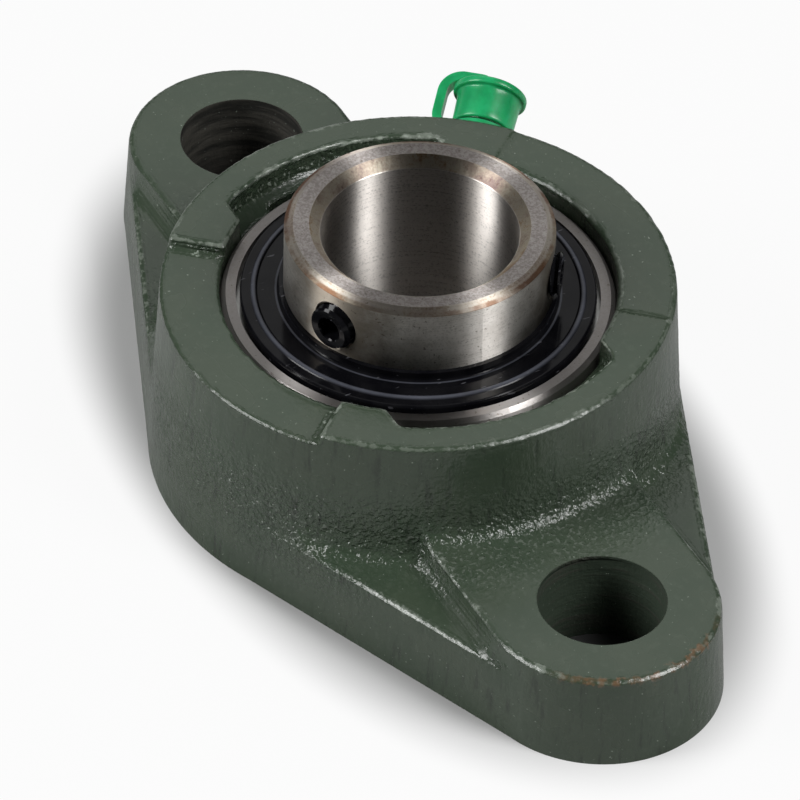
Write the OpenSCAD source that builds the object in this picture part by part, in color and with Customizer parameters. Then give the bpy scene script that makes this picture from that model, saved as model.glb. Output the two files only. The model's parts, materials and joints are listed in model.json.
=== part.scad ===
// Two-bolt oval flange bearing unit: a cast iron housing with a spherical seat, and in it a
// self-aligning ball bearing with a wide inner ring that two set screws clamp to the shaft.
// Z is the shaft's axis and starts at the mounting face. X runs through both bolt holes.

/* [Flange] */
// Distance between the centres of the two bolt holes
bolt_spacing = 99; // [96:0.5:104]
// Diameter of each bolt hole
bolt_hole_d = 16; // [12:0.5:17]
// Radius of the rounded ends at the mounting face
end_r = 15.5; // [14:0.1:17]
// Radius of the flange's middle at the mounting face
centre_r = 34; // [33:0.1:36]
// Height of the low webs beside the bolt pads
web_h = 9.7; // [8:0.1:11]
// Height of the bolt pads
pad_h = 13; // [12:0.1:15]
// Lean of the cast walls, in degrees
draft = 3.3; // [1.5:0.1:4]
// Radius of the fillet between the boss and the pads and webs
root_r = 2.2; // [1:0.1:3]
// Radius of the fillet between the pads and the webs
ledge_r = 1.6; // [0.8:0.1:2]
// Break on the top edges of the pads and webs
cast_edge = 0.4; // [0.3:0.1:1]

/* [Boss] */
// Height of the boss above the mounting face
boss_h = 27; // [26:0.1:28]
// Break on the boss's top edge
boss_edge = 0.3; // [0.2:0.1:1]
// How far the side sector of the face lies below the rest
low_step = 1.5; // [0.5:0.1:2]
// How far the opposite side sector lies below the rest
faint_step = 0.3; // [0.1:0.1:0.6]
// Half of the angle that each side sector spans
sector_half = 40.2; // [35:0.1:45]
// Diameter of the round mouth in the face
mouth_d = 50; // [49.6:0.1:50.6]
// Diameter of the opening at the mounting face
back_d = 52.6; // [52:0.1:54]
// Diameter over the two loading recesses
recess_d = 56; // [55:0.1:58]
// Width of each loading recess
recess_w = 29.8; // [26:0.1:32]
// Depth of each loading recess at its outer wall
recess_h = 2.5; // [2:0.1:3.2]

/* [Bearing rings] */
// Height of the ball centres above the mounting face
seat_h = 16; // [15.6:0.1:16.4]
// Diameter of the spherical outer ring
ring_d = 52; // [51.6:0.1:52.4]
// Width of the outer ring
ring_w = 17; // [16.6:0.1:17.4]
// Break on the outer ring's corners
ring_break = 0.35; // [0.2:0.05:0.5]
// Gap between the outer ring and its seat, on the radius
seat_gap = 0.03; // [0.02:0.01:0.08]
// Bore for the shaft
bore_d = 25; // [22:0.1:26]
// Outside diameter of the inner ring
inner_d = 34; // [33.6:0.1:34.2]
// How far the inner ring reaches behind the ball centres
inner_back = 14.3; // [13.6:0.1:15]
// Width of the slope inside the inner ring's front face
bore_break = 1.35; // [0.8:0.05:1.6]
// Width of the slope outside the inner ring's front face
collar_break = 1.1; // [0.5:0.05:1.3]
// Height of the slope outside the inner ring's front face
collar_drop = 0.6; // [0.4:0.05:1]
// Break on the back edges of the inner ring
back_break = 0.5; // [0.3:0.1:0.8]
// Diameter of the outer ring's inside between the seals
land_d = 44; // [43.6:0.1:44.4]
// Diameter of the outer ring's inside at its faces
face_bore_d = 45.9; // [45.5:0.1:46.2]

/* [Balls and cage] */
// Ball diameter
ball_d = 7.938; // [7.7:0.001:8]
// Gap between a ball and each raceway
race_gap = 0.02; // [0.01:0.01:0.05]
// Raceway groove radius as a share of the ball diameter
groove_share = 0.52; // [0.51:0.005:0.54]
// Gap between a ball and its cage pocket
pocket_gap = 0.12; // [0.08:0.01:0.2]
// Thickness of the cage's sheet
cage_t = 0.6; // [0.4:0.1:0.8]
// Radial width of the cage
cage_w = 2.8; // [2.2:0.1:3.2]
// Diameter of the cage's rivets
rivet_d = 1.2; // [1:0.1:1.4]

/* [Seals and flingers] */
// Distance from the ball centres to each seal's inner side
seal_z = 6; // [5.8:0.1:6.2]
// Thickness of each seal's steel ring
shield_t = 0.6; // [0.4:0.1:0.8]
// How deep the steel ring sits in its groove
shield_grip = 0.5; // [0.3:0.1:0.6]
// Radial width of each rubber lip
lip_w = 1.3; // [0.9:0.1:1.6]
// Gap between a rubber lip and the inner ring
lip_gap = 0.03; // [0.02:0.01:0.08]
// Thickness of the flingers' sheet
flinger_t = 0.55; // [0.4:0.05:0.7]
// Height of each flinger's hub above the outer ring's face
hub_h = 1.9; // [1.5:0.1:2.2]
// Height of each flinger's flat above the outer ring's face
flat_h = 0.65; // [0.6:0.05:0.9]
// Height of the bead pressed into each flinger
bead_h = 0.22; // [0.1:0.02:0.3]
// Distance from each flinger's rim in to its bead
bead_in = 1.75; // [1.4:0.05:2]
// Gap between each flinger and the outer ring
flinger_gap = 0.5; // [0.4:0.1:0.8]
// Gap left by pieces that are pressed together
press_gap = 0.01; // [0.005:0.005:0.02]

/* [Set screws] */
// Thread diameter of the set screws
screw_d = 6; // [5:0.5:6]
// Gap between a set screw and its tapped hole, on the radius
screw_gap = 0.05; // [0.03:0.01:0.1]
// Distance from the inner ring's front face to the screws' axis
screw_drop = 5.5; // [5:0.1:6]
// Gap between the flinger's hub and the set screws
hub_room = 0.9; // [0.6:0.1:1.5]
// Direction of the first set screw
screw_angle = -66; // [-90:1:-50]
// Angle between the two set screws
screw_spread = 120; // [90:1:130]
// Countersink at the mouth of each tapped hole
screw_break = 0.5; // [0.2:0.1:0.8]
// How far the screws stand out of the ring
screw_proud = 1; // [0.4:0.1:1.4]
// Distance from a screw's tip to the shaft's surface
tip_gap = 0.2; // [0.1:0.1:0.6]
// Width across the flats of the hexagon socket
socket_af = 3; // [2.5:0.5:3]

/* [Grease nipple] */
// Direction of the nipple around the boss
nipple_angle = 139.3; // [125:0.1:150]
// Rise of the nipple's axis from the horizontal
nipple_tilt = 22; // [18:1:26]
// Height at which the nipple's axis leaves the boss
nipple_h = 21.5; // [20.6:0.1:22]
// Thread diameter of the nipple
nipple_d = 6; // [5:0.5:6]
// Wall left between the nipple's end and the bearing's seat
thread_end = 1.1; // [0.8:0.1:1.6]
// Width across the flats of the nipple's hexagon
nipple_af = 7; // [6.5:0.1:7.4]
// Height of the nipple's hexagon
hex_h = 3; // [2.6:0.1:3.4]
// Length of the nipple's neck
neck_h = 2.2; // [1.8:0.1:2.6]
// Diameter of the nipple's head
head_d = 6.4; // [6:0.1:6.5]
// Height of the nipple's head
head_h = 3.4; // [3.2:0.1:3.6]
// Diameter of the channel through the nipple
channel_d = 2.4; // [2.2:0.1:2.6]
// Diameter of the valve ball under the nipple's mouth
valve_d = 2; // [1.9:0.1:2.1]
// Wire of the valve spring
spring_wire = 0.24; // [0.2:0.02:0.28]
// Turns of the valve spring
spring_turns = 7; // [5:1:8]

/* [Nipple cap] */
// Outside diameter of the cap at its mouth
cap_d = 8; // [7.8:0.1:8.4]
// Outside diameter of the cap under its rim
cap_top_d = 8.3; // [8:0.1:8.6]
// Gap between the cap's inside and the nipple's head
cap_gap = 0.08; // [0.05:0.01:0.15]
// Height from the nipple's seat to the cap's top
cap_top = 10.4; // [10.2:0.1:11]
// Thickness of the cap's end and of its rim
cap_t = 1; // [0.8:0.1:1.2]
// Diameter of the cap's rim
cap_rim_d = 9.6; // [9.2:0.1:10]
// Gap between the ring round the nipple's neck and the cap's mouth
cap_lift = 0.6; // [0.3:0.1:0.8]
// Thickness of the strap and of the ring round the nipple's neck
strap_t = 1.2; // [0.8:0.1:1.2]
// Width of the strap
strap_w = 2; // [1.6:0.1:2.4]
// Distance from the cap's axis to the middle of the strap
strap_out = 6.15; // [6:0.05:6.5]
// Radius of the strap's two bends, along its middle
strap_bend = 2.6; // [2.3:0.1:2.8]
// How far the middle of the strap arches over the cap's top
strap_rise = 1.45; // [1.2:0.05:1.8]

/* [Hidden] */
ball_count = 9;
$fn = 96;

// Flange, worked out from the outline's circles
bolt_x = bolt_spacing / 2;
lean = tan(draft);
side_sin = (centre_r - end_r) / bolt_x;
side_angle = asin(side_sin);
web_x = bolt_x + end_r * side_sin;
// Flat sides lie this far inside the round ones, so that the two cross cleanly
tuck = 0.05;
// What a cut reaches past the surface that it opens
over = 1;
far = 80;

// Bearing
ring_r = ring_d / 2;
ring_face_r = sqrt(pow(ring_r, 2) - pow(ring_w / 2, 2)) - ring_break;
inner_r = inner_d / 2;
ball_r = ball_d / 2;
pitch_r = (inner_d + land_d) / 4;
groove_r = ball_d * groove_share;
inner_race_r = pitch_r - ball_r - race_gap;
outer_race_r = pitch_r + ball_r + race_gap;
half_ring = ring_w / 2;
inner_front = half_ring + hub_h + hub_room + screw_d / 2 + screw_drop;
seat_r = ring_r + seat_gap;
grease_z = 4;
grease_w = 1.8;
grease_depth = 0.5;
grease_hole_d = 1.6;
pocket_r = ball_r + pocket_gap;
shield_r = face_bore_d / 2 + shield_grip;
lip_r = inner_r + lip_gap;
shield_bore_r = lip_r + lip_w;
flinger_r = face_bore_d / 2 - flinger_gap;
hub_bore_r = inner_r + press_gap;

// Set screws
screw_z = seat_h + inner_front - screw_drop;
screw_tip_r = bore_d / 2 + tip_gap;
screw_end_r = inner_r + screw_proud;
screw_hole_r = screw_d / 2 + screw_gap;
socket_depth = 2.4;

// Grease nipple, along its own axis from the seat that it is screwed down on
nipple_bore_d = 3;
wall_r = centre_r - nipple_h * lean;
spot_r = nipple_af / 2 / cos(30) + 0.5;
seat_depth = spot_r * tan(nipple_tilt);
nipple_rise = nipple_h - seat_h;
nearest = wall_r * cos(nipple_tilt) + nipple_rise * sin(nipple_tilt);
seat_way = nearest - sqrt(pow(nearest, 2) - pow(wall_r, 2) - pow(nipple_rise, 2) + pow(seat_r, 2)) - seat_depth;
nipple_thread = seat_way - thread_end;
head_z = hex_h + neck_h;
head_r = head_d / 2;
neck_r = head_r - 0.95;
nipple_top = head_z + head_h;
mouth_r = valve_d / 2 - 0.25;
valve_z = nipple_top - 1.5;
stop_z = 0.4 - nipple_thread;
cap_bore_r = head_r + cap_gap;
strap_ring_z = hex_h + 0.05;
cap_mouth_z = strap_ring_z + strap_t + cap_lift;

// Puts its children on the nipple's axis, with their origin on the nipple's seat
module on_nipple() {
  rotate([0, 0, nipple_angle])
    translate([wall_r, 0, nipple_h])
      rotate([0, 90 - nipple_tilt, 0])
        translate([0, 0, -seat_depth])
          children();
}

// Turns its children to the angle of one set screw, with Z pointing outward
module on_screw(angle) {
  rotate([0, 0, angle])
    translate([0, 0, screw_z])
      rotate([0, 90, 0])
        children();
}

// A round cast body that leans inward as it rises, with a broken top edge
module leaning_cylinder(r, h, edge) {
  cylinder(r1 = r, r2 = r - (h - edge) * lean, h = h - edge);
  translate([0, 0, h - edge])
    cylinder(r1 = r - (h - edge) * lean, r2 = r - h * lean - edge, h = edge);
}

// All that lies outside a leaning wall whose foot is at the given distance along Y, and outside its
// broken edge at height h
module beyond_wall(distance, h) {
  translate([0, distance, 0])
    rotate([draft, 0, 0])
      translate([-far, 0, -far / 2])
        cube([2 * far, far, 2 * far]);
  translate([0, distance - h * lean - cast_edge, h])
    rotate([atan(1 + lean), 0, 0])
      translate([-far, 0, -far / 2])
        cube([2 * far, far, far]);
}

// What lies inside the flange's straight sides, moved in by an inset, up to a height. It stops where
// they meet the rounds.
module between_sides(h, inset = 0) {
  side_y = centre_r * cos(side_angle);
  difference() {
    translate([-web_x, -side_y, 0])
      cube([2 * web_x, 2 * side_y, h]);
    for (mx = [0, 1], my = [0, 1])
      mirror([mx, 0, 0])
        mirror([0, my, 0])
          rotate([0, 0, -side_angle])
            beyond_wall(centre_r - tuck - inset, h);
  }
}

// What lies in the bar that carries both bolt pads, up to a height
module along_pads(h) {
  difference() {
    translate([-bolt_x, -end_r, 0])
      cube([bolt_spacing, 2 * end_r, h]);
    for (my = [0, 1])
      mirror([0, my, 0])
        beyond_wall(end_r - tuck, h);
  }
}

// Outline of a hollow fillet of radius r in the corner of a level and a wall that leans. The arc
// crosses both a little outside its points of contact.
module fillet_outline(wall, level, r) {
  foot = wall - level * lean;
  difference() {
    translate([foot - over, level - over])
      square(r + over);
    translate([foot + 1.23 * r, level + 1.23 * r])
      circle(r = 1.28 * r);
  }
}

// Fillet that rises round the boss's wall from a level
module root_fillet(level) {
  rotate_extrude()
    fillet_outline(centre_r, level, root_r);
}

// Fillet that rises from the webs along the pads' walls and round their ends
module ledge_fillet() {
  for (my = [0, 1])
    mirror([0, my, 0])
      translate([-bolt_x, 0, 0])
        rotate([90, 0, 90])
          linear_extrude(bolt_spacing)
            fillet_outline(end_r - tuck, web_h, ledge_r);
  for (side = [-1, 1])
    translate([side * bolt_x, 0, 0])
      rotate_extrude()
        fillet_outline(end_r, web_h, ledge_r);
}

// One sector of the face, around the Y axis, to be lowered by a step
module sector(step) {
  translate([0, 0, boss_h - step])
    linear_extrude(step + over)
      polygon([[0, 0], [far * sin(sector_half), far * cos(sector_half)],
               [-far * sin(sector_half), far * cos(sector_half)]]);
}

// The two cast recesses through which the bearing is put in sideways
module loading_recesses() {
  floor_drop = 1.6;
  recess_r = recess_d / 2;
  intersection() {
    union() {
      translate([0, 0, boss_h - recess_h])
        cylinder(r = recess_r, h = recess_h + over);
      translate([0, 0, boss_h - recess_h - floor_drop])
        cylinder(r1 = mouth_d / 2 - 0.2, r2 = recess_r, h = floor_drop);
    }
    translate([-far, -recess_w / 2, 0])
      cube([2 * far, recess_w, far]);
  }
  intersection() {
    translate([0, 0, seat_h])
      cylinder(r = ring_r + 0.15, h = far);
    translate([-far, -half_ring - 0.4, 0])
      cube([2 * far, ring_w + 0.8, far]);
  }
}

module housing() {
  color("#47524a")
    difference() {
      union() {
        leaning_cylinder(centre_r, boss_h, boss_edge);
        between_sides(web_h);
        along_pads(pad_h);
        intersection() {
          union() {
            root_fillet(web_h);
            ledge_fillet();
          }
          between_sides(boss_h, cast_edge);
        }
        intersection() {
          root_fillet(pad_h);
          along_pads(boss_h);
        }
        for (side = [-1, 1])
          translate([side * bolt_x, 0, 0])
            leaning_cylinder(end_r, pad_h, cast_edge);
      }
      for (side = [-1, 1])
        translate([side * bolt_x, 0, -over])
          cylinder(d = bolt_hole_d, h = pad_h + 2 * over);
      translate([0, 0, seat_h])
        sphere(r = seat_r);
      translate([0, 0, seat_h])
        cylinder(d = mouth_d, h = boss_h);
      translate([0, 0, -over])
        cylinder(d1 = back_d, d2 = mouth_d - 1, h = seat_h - half_ring + over);
      loading_recesses();
      rotate([0, 0, 180])
        sector(low_step);
      sector(faint_step);
      on_nipple() {
        cylinder(r = spot_r, h = far);
        translate([0, 0, -nipple_thread - 0.5])
          cylinder(r = nipple_d / 2, h = far);
        translate([0, 0, -seat_way - over])
          cylinder(d = nipple_bore_d, h = far);
      }
    }
}

module outer_ring() {
  color("#8d8582")
    translate([0, 0, seat_h])
      difference() {
        intersection() {
          sphere(r = ring_r);
          rotate_extrude()
            polygon([[0, -half_ring], [ring_face_r, -half_ring], [ring_face_r + half_ring, 0],
                     [ring_face_r, half_ring], [0, half_ring]]);
        }
        cylinder(d = land_d, h = far, center = true);
        rotate_extrude()
          translate([outer_race_r - groove_r, 0])
            circle(r = groove_r);
        for (side = [0, 1])
          mirror([0, 0, side]) {
            translate([0, 0, seal_z])
              cylinder(d = face_bore_d, h = far);
            translate([0, 0, seal_z])
              cylinder(r = shield_r + press_gap, h = shield_t + press_gap);
          }
        translate([0, 0, grease_z - grease_w / 2])
          difference() {
            cylinder(r = far, h = grease_w);
            cylinder(r = sqrt(pow(ring_r, 2) - pow(grease_z, 2)) - grease_depth, h = grease_w);
          }
        for (turn = [0, 180])
          rotate([0, 0, nipple_angle + turn])
            translate([land_d / 2 - over, 0, grease_z])
              rotate([0, 90, 0])
                cylinder(d = grease_hole_d, h = ring_r);
      }
}

module inner_ring() {
  bore_r = bore_d / 2;
  bore_end_r = bore_r + 2 * back_break;
  color("#9b9690")
    difference() {
      translate([0, 0, seat_h])
        rotate_extrude()
          polygon([[bore_r, -inner_back + 2 * back_break], [bore_end_r, -inner_back],
                   [inner_r - back_break, -inner_back], [inner_r, -inner_back + back_break],
                   [inner_r, inner_front - collar_drop], [inner_r - collar_break, inner_front],
                   [bore_r + bore_break, inner_front], [bore_r, inner_front - bore_break]]);
      translate([0, 0, seat_h])
        rotate_extrude()
          translate([inner_race_r + groove_r, 0])
            circle(r = groove_r);
      for (turn = [0, screw_spread])
        on_screw(screw_angle + turn) {
          cylinder(r = screw_hole_r, h = far);
          translate([0, 0, inner_r - screw_break])
            cylinder(r1 = screw_hole_r, r2 = screw_hole_r + 2 * screw_break, h = 2 * screw_break);
        }
    }
}

module ball(number) {
  color("#c4c6c8")
    rotate([0, 0, (number - 1) * 360 / ball_count])
      translate([pitch_r, 0, seat_h])
        sphere(r = ball_r);
}

// One pressed half of the ribbon cage: flat bridges with a round pocket over each ball
module cage_half() {
  pocket_h = pocket_r + cage_t;
  difference() {
    intersection() {
      union() {
        cylinder(r = pitch_r + cage_w, h = cage_t);
        for (i = [0:ball_count - 1])
          rotate([0, 0, i * 360 / ball_count])
            translate([pitch_r, 0, 0])
              sphere(r = pocket_h);
      }
      difference() {
        cylinder(r = pitch_r + cage_w / 2, h = pocket_h + over);
        cylinder(r = pitch_r - cage_w / 2, h = far, center = true);
      }
    }
    for (i = [0:ball_count - 1])
      rotate([0, 0, i * 360 / ball_count])
        translate([pitch_r, 0, 0])
          sphere(r = pocket_r);
    for (i = [0:ball_count - 1])
      rotate([0, 0, (i + 0.5) * 360 / ball_count])
        translate([pitch_r, 0, -over])
          cylinder(d = rivet_d + 2 * press_gap, h = cage_t + 2 * over);
  }
}

module cage_front() {
  color("#a8a6a0")
    translate([0, 0, seat_h])
      cage_half();
}

module cage_back() {
  color("#a8a6a0")
    translate([0, 0, seat_h])
      mirror([0, 0, 1])
        cage_half();
}

module cage_rivets() {
  head_t = 0.4;
  color("#8f8d88")
    for (i = [0:ball_count - 1])
      rotate([0, 0, (i + 0.5) * 360 / ball_count])
        translate([pitch_r, 0, seat_h]) {
          cylinder(d = rivet_d, h = 2 * cage_t, center = true);
          for (side = [0, 1])
            mirror([0, 0, side])
              translate([0, 0, cage_t])
                cylinder(d1 = rivet_d * 1.7, d2 = rivet_d, h = head_t);
        }
}

// Steel ring of a seal, above the ball centres
module seal_shield() {
  color("#5c5a58")
    translate([0, 0, seal_z])
      difference() {
        cylinder(r = shield_r, h = shield_t);
        translate([0, 0, -over])
          cylinder(r = shield_bore_r, h = shield_t + 2 * over);
      }
}

// Rubber lip that is bonded to the steel ring and runs on the inner ring
module seal_lip() {
  lip_t = shield_t;
  color("#1c1c1e")
    translate([0, 0, seal_z])
      rotate_extrude()
        polygon([[lip_r, 0], [shield_bore_r, 0], [shield_bore_r, lip_t], [lip_r + 0.5, lip_t],
                 [lip_r, lip_t + 0.4]]);
}

// Points along an arc, about a centre and from one angle to another
function arc(x, z, r, from, to, steps) =
  [for (i = [0:steps]) let(a = from + (to - from) * i / steps) [x + r * cos(a), z + r * sin(a)]];

// Pressed disc that turns with the inner ring and throws dirt outward: a hub on the ring, a flat with
// a round bead, and a rim that turns down inside the outer ring's face
module flinger() {
  flat = half_ring + flat_h;
  hub_top = half_ring + hub_h;
  hub_r = hub_bore_r + flinger_t;
  inside_r = flinger_r - flinger_t;
  rim_foot = half_ring - 1;
  bend = 0.35;
  bead_r = flinger_r - bead_in;
  bead_w = 0.45;
  bead_curve = (pow(bead_w, 2) + pow(bead_h, 2)) / 2 / bead_h;
  bead_turn = asin(bead_w / bead_curve);
  color("#191b20")
    rotate_extrude()
      polygon(concat(
        [[hub_bore_r, hub_top], [hub_r, hub_top]],
        arc(hub_r + bend, flat + bend, bend, 180, 270, 4),
        arc(bead_r, flat + bead_h - bead_curve, bead_curve, 90 + bead_turn, 90 - bead_turn, 6),
        arc(flinger_r - bend, flat - bend, bend, 90, 0, 4),
        [[flinger_r, rim_foot], [inside_r, rim_foot], [inside_r, flat - flinger_t],
         [bead_r + bead_w, flat - flinger_t], [bead_r, flat + bead_h - flinger_t],
         [bead_r - bead_w, flat - flinger_t], [hub_r, flat - flinger_t], [hub_bore_r, flat]]));
}

module in_front() {
  translate([0, 0, seat_h])
    children();
}

module behind() {
  translate([0, 0, seat_h])
    mirror([0, 0, 1])
      children();
}

// Set screw with a cup point, a broken end and a hexagon socket
module set_screw(angle) {
  end_break = 0.5;
  screw_r = screw_d / 2;
  color("#17181a")
    on_screw(angle)
      difference() {
        union() {
          translate([0, 0, screw_tip_r])
            cylinder(r1 = screw_r - end_break, r2 = screw_r, h = end_break);
          translate([0, 0, screw_tip_r + end_break])
            cylinder(r = screw_r, h = screw_end_r - screw_tip_r - 2 * end_break);
          translate([0, 0, screw_end_r - end_break])
            cylinder(r1 = screw_r, r2 = screw_r - end_break, h = end_break);
        }
        translate([0, 0, screw_tip_r - 0.01])
          cylinder(r1 = 1.6, r2 = 0.4, h = 1);
        translate([0, 0, screw_end_r - socket_depth])
          cylinder(r = socket_af / 2 / cos(30), h = far, $fn = 6);
      }
}

module grease_nipple() {
  color("#c9cbc6")
    on_nipple()
      difference() {
        union() {
          translate([0, 0, -nipple_thread])
            cylinder(r = nipple_d / 2 - screw_gap, h = nipple_thread + 0.1);
          cylinder(r = nipple_af / 2 / cos(30), h = hex_h, $fn = 6);
          rotate_extrude()
            polygon([[0, hex_h - 0.1], [neck_r, hex_h - 0.1], [neck_r, head_z], [head_r, head_z + 0.9],
                     [head_r, head_z + 1.5], [mouth_r + 0.8, nipple_top], [0, nipple_top]]);
        }
        translate([0, 0, stop_z])
          cylinder(d = channel_d, h = valve_z - stop_z + 0.1);
        translate([0, 0, valve_z])
          cylinder(r1 = channel_d / 2, r2 = mouth_r, h = 1.1);
        translate([0, 0, -nipple_thread - over])
          cylinder(r = mouth_r, h = far);
      }
}

module nipple_valve_ball() {
  color("#d5d7d9")
    on_nipple()
      translate([0, 0, valve_z])
        sphere(r = valve_d / 2);
}

// Coil spring, swept round the nipple's channel from its stop up to the valve ball
module nipple_spring() {
  wire_r = spring_wire / 2;
  coil_r = channel_d / 2 - wire_r - 0.15;
  low = stop_z + wire_r + 0.02;
  high = valve_z - sqrt(pow(valve_d / 2 + wire_r + 0.03, 2) - pow(coil_r, 2));
  per_turn = 16;
  sides = 6;
  count = spring_turns * per_turn;
  points = [
    for (i = [0:count])
      for (k = [0:sides - 1])
        let (turn = i * 360 / per_turn, r = coil_r + wire_r * cos(k * 360 / sides))
          [r * cos(turn), r * sin(turn), low + (high - low) * i / count + wire_r * sin(k * 360 / sides)]
  ];
  sheath = [
    for (i = [0:count - 1])
      for (k = [0:sides - 1])
        let (next = (k + 1) % sides)
          [i * sides + k, (i + 1) * sides + k, (i + 1) * sides + next, i * sides + next]
  ];
  ends = [[for (k = [0:sides - 1]) k], [for (k = [0:sides - 1]) (count + 1) * sides - 1 - k]];
  color("#b9bbbd")
    on_nipple()
      polyhedron(points = points, faces = concat(sheath, ends), convexity = 8);
}

module nipple_cap() {
  rim_z = cap_top - cap_t;
  color("#1f9d57")
    on_nipple()
      difference() {
        union() {
          translate([0, 0, cap_mouth_z])
            cylinder(d1 = cap_d, d2 = cap_top_d, h = rim_z - cap_mouth_z);
          translate([0, 0, rim_z])
            cylinder(d = cap_rim_d, h = cap_t);
        }
        translate([0, 0, cap_mouth_z - over])
          cylinder(r = cap_bore_r, h = rim_z - cap_mouth_z + over);
      }
}

// A quarter of a bend of the strap, from direction 0 to 90 degrees round its centre
module strap_quarter(r) {
  intersection() {
    difference() {
      circle(r = r + strap_t / 2);
      circle(r = r - strap_t / 2);
    }
    square(far);
  }
}

// Side view of the strap: out from the ring, up beside the cap and over its rim to the middle of its top.
// X is the height along the nipple, and Y the distance from its axis.
module strap_side() {
  bend_y = strap_out - strap_bend;
  low_z = strap_ring_z + strap_t / 2 + strap_bend;
  foot_z = cap_top + 0.05;
  high_z = foot_z + strap_rise - strap_bend;
  translate([strap_ring_z, neck_r + 1])
    square([strap_t, bend_y - neck_r - 1]);
  translate([low_z, bend_y])
    mirror([1, 0, 0])
      strap_quarter(strap_bend);
  translate([low_z, strap_out - strap_t / 2])
    square([high_z - low_z, strap_t]);
  translate([high_z, bend_y])
    strap_quarter(strap_bend);
  translate([foot_z + strap_rise - strap_t / 2, strap_rise])
    square([strap_t, bend_y - strap_rise]);
  translate([foot_z, strap_rise])
    mirror([0, 1, 0])
      strap_quarter(strap_rise);
}

// Soft strap that holds the cap, with the ring that goes round the nipple's neck
module cap_strap() {
  ring_r1 = cap_d / 2 + 0.3;
  color("#2bb067")
    on_nipple() {
      translate([0, 0, strap_ring_z])
        difference() {
          cylinder(r = ring_r1, h = strap_t);
          translate([0, 0, -over])
            cylinder(r = neck_r + 0.15, h = strap_t + 2 * over);
        }
      translate([strap_w / 2, 0, 0])
        rotate([0, -90, 0])
          linear_extrude(strap_w)
            strap_side();
    }
}

housing();
outer_ring();
inner_ring();
ball(1);  // ball_1
ball(2);  // ball_2
ball(3);  // ball_3
ball(4);  // ball_4
ball(5);  // ball_5
ball(6);  // ball_6
ball(7);  // ball_7
ball(8);  // ball_8
ball(9);  // ball_9
cage_front();
cage_back();
cage_rivets();
in_front() seal_shield();  // front_seal_shield
in_front() seal_lip();  // front_seal_lip
behind() seal_shield();  // back_seal_shield
behind() seal_lip();  // back_seal_lip
in_front() flinger();  // front_flinger
behind() flinger();  // back_flinger
set_screw(screw_angle);  // set_screw_1
set_screw(screw_angle + screw_spread);  // set_screw_2
grease_nipple();
nipple_valve_ball();
nipple_spring();
nipple_cap();
cap_strap();
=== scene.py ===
# Flange bearing: the looks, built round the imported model
import json
import math
import bpy
import numpy as np
from mathutils import Matrix, Quaternion, Vector

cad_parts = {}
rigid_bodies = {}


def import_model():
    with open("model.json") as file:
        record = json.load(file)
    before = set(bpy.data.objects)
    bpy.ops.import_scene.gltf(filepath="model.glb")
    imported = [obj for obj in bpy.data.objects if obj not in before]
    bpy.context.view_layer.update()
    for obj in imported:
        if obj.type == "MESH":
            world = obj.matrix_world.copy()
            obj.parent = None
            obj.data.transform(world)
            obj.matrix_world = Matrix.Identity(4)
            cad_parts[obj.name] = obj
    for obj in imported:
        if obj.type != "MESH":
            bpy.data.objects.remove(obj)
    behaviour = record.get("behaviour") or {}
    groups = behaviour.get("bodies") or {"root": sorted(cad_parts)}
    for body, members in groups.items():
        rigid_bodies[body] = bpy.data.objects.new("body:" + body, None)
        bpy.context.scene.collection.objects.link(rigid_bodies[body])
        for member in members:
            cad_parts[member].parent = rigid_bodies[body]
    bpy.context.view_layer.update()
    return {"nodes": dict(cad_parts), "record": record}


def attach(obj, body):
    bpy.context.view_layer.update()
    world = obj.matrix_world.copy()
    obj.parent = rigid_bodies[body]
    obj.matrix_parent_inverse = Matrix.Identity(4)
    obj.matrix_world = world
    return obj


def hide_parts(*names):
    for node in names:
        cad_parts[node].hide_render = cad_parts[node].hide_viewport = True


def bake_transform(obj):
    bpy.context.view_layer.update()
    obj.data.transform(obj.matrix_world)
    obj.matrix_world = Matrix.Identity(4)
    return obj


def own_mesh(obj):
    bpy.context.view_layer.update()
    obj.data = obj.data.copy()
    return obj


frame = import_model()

mm = 0.001

# lengths that several pieces share, in millimetres
seatHeight = 16  # bearing's centre above the mounting face
boltAway = 49.5  # from the shaft's axis to each bolt hole's
bossFoot = 33.4  # radius at which the boss meets flange and webs
padHeight = 13  # top of the pad round each bolt hole
screwTurns = {"set_screw_1": -66, "set_screw_2": 54}  # degrees from +X


# Shader building

class Value:
    # a shader socket, or what an expression on sockets gives
    def __init__(self, finish, socket):
        self.finish = finish
        self.socket = socket

    def maths(self, operation, *others):
        return self.finish.maths(operation, self, *others)

    def __add__(self, other):
        return self.maths("ADD", other)

    def __radd__(self, other):
        return self.finish.maths("ADD", other, self)

    def __sub__(self, other):
        return self.maths("SUBTRACT", other)

    def __rsub__(self, other):
        return self.finish.maths("SUBTRACT", other, self)

    def __mul__(self, other):
        return self.maths("MULTIPLY", other)

    def __rmul__(self, other):
        return self.finish.maths("MULTIPLY", other, self)

    def __truediv__(self, other):
        return self.maths("DIVIDE", other)

    def __rtruediv__(self, other):
        return self.finish.maths("DIVIDE", other, self)

    def __pow__(self, other):
        return self.maths("POWER", other)

    def __rpow__(self, other):
        return self.finish.maths("POWER", other, self)

    def __abs__(self):
        return self.maths("ABSOLUTE")

    def upToOne(self):
        return self.maths("MINIMUM", 1.0)


def distance(x, y):
    return (x ** 2 + y ** 2) ** 0.5


def setStops(ramp, stops):
    # each stop is a place and a colour
    while len(ramp.elements) > 1:
        ramp.elements.remove(ramp.elements[-1])
    ramp.elements[0].position, ramp.elements[0].color = stops[0][0], (*stops[0][1], 1)
    for place, colour in stops[1:]:
        ramp.elements.new(place).color = (*colour, 1)


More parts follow.
